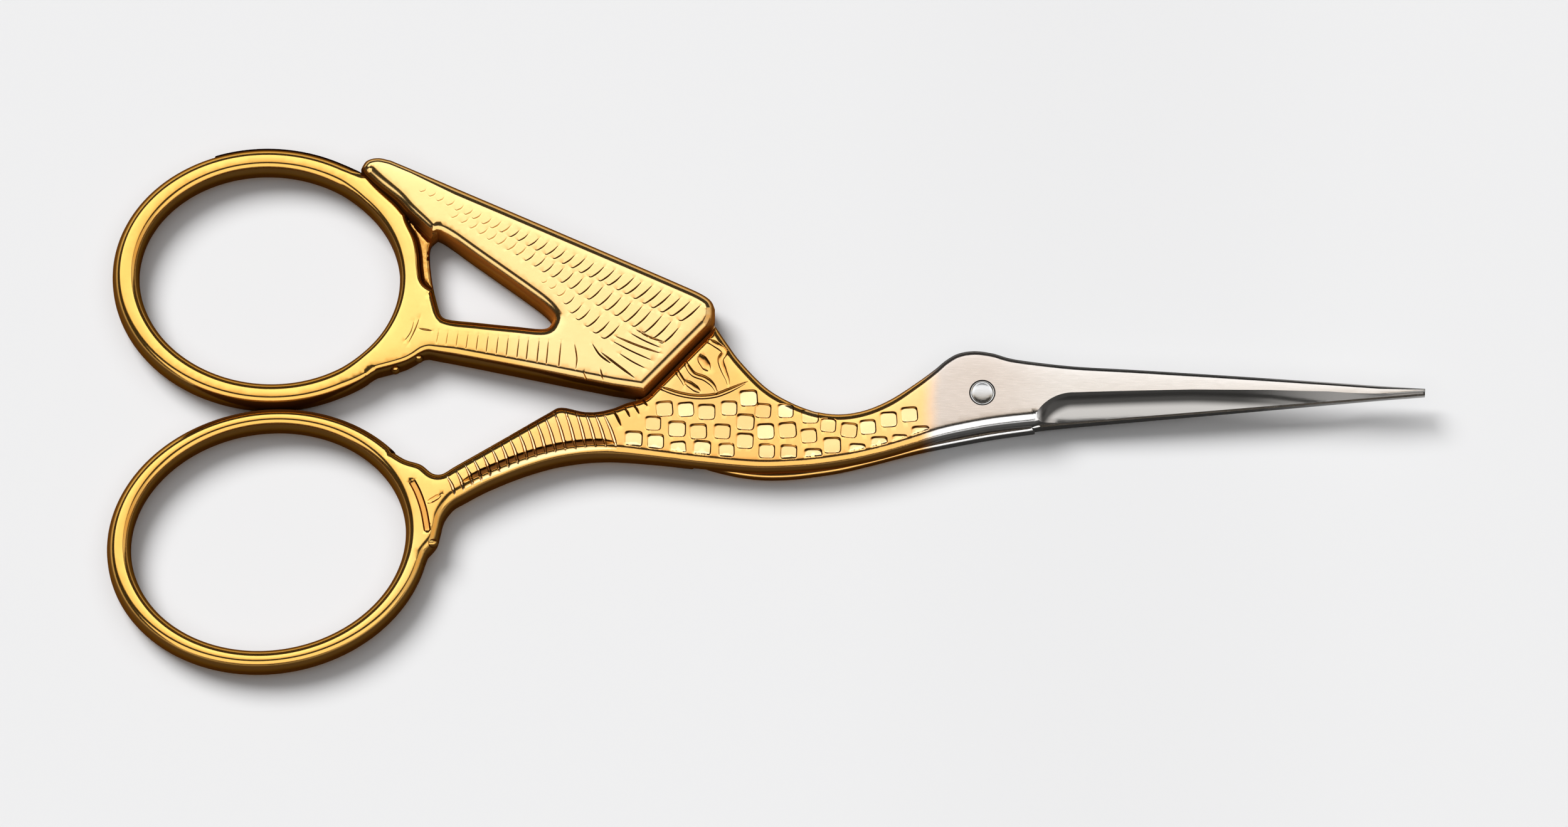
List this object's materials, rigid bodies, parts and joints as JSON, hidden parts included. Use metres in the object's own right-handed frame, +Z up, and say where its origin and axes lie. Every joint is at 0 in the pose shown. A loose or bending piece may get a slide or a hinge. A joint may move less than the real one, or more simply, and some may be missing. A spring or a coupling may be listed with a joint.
{
  "type": "embroidery scissors",
  "caption": "Small stork-shaped embroidery scissors: gilded oval finger rings, a feathered wing, a scaled body and slender pointed steel blades turning on a rivet.",
  "frame": {"origin": "where the rivet's axis meets the surface that the closed scissors lie on", "axes": "+X along the closed blades to the tips, +Y to the side of the wing and the upper ring, +Z up along the rivet"},
  "size_m": [0.1151, 0.0468, 0.0046],
  "materials": {
    "gilded_steel": "polished gold plate on the rings, wing, legs and body, fading to bare satin steel at the head and blades",
    "rivet_steel": "polished steel"
  },
  "bodies": {
    "rear": {"rear_half": "gilded_steel", "pivot_rivet": "rivet_steel"},
    "front": {"front_half": "gilded_steel"}
  },
  "joints": [
    {"name": "pivot", "type": "hinge", "parent": "rear", "child": "front", "pos_m": [0, 0, 0], "axis": [0, 0, 1], "range_deg": [0, 155]}
  ]
}
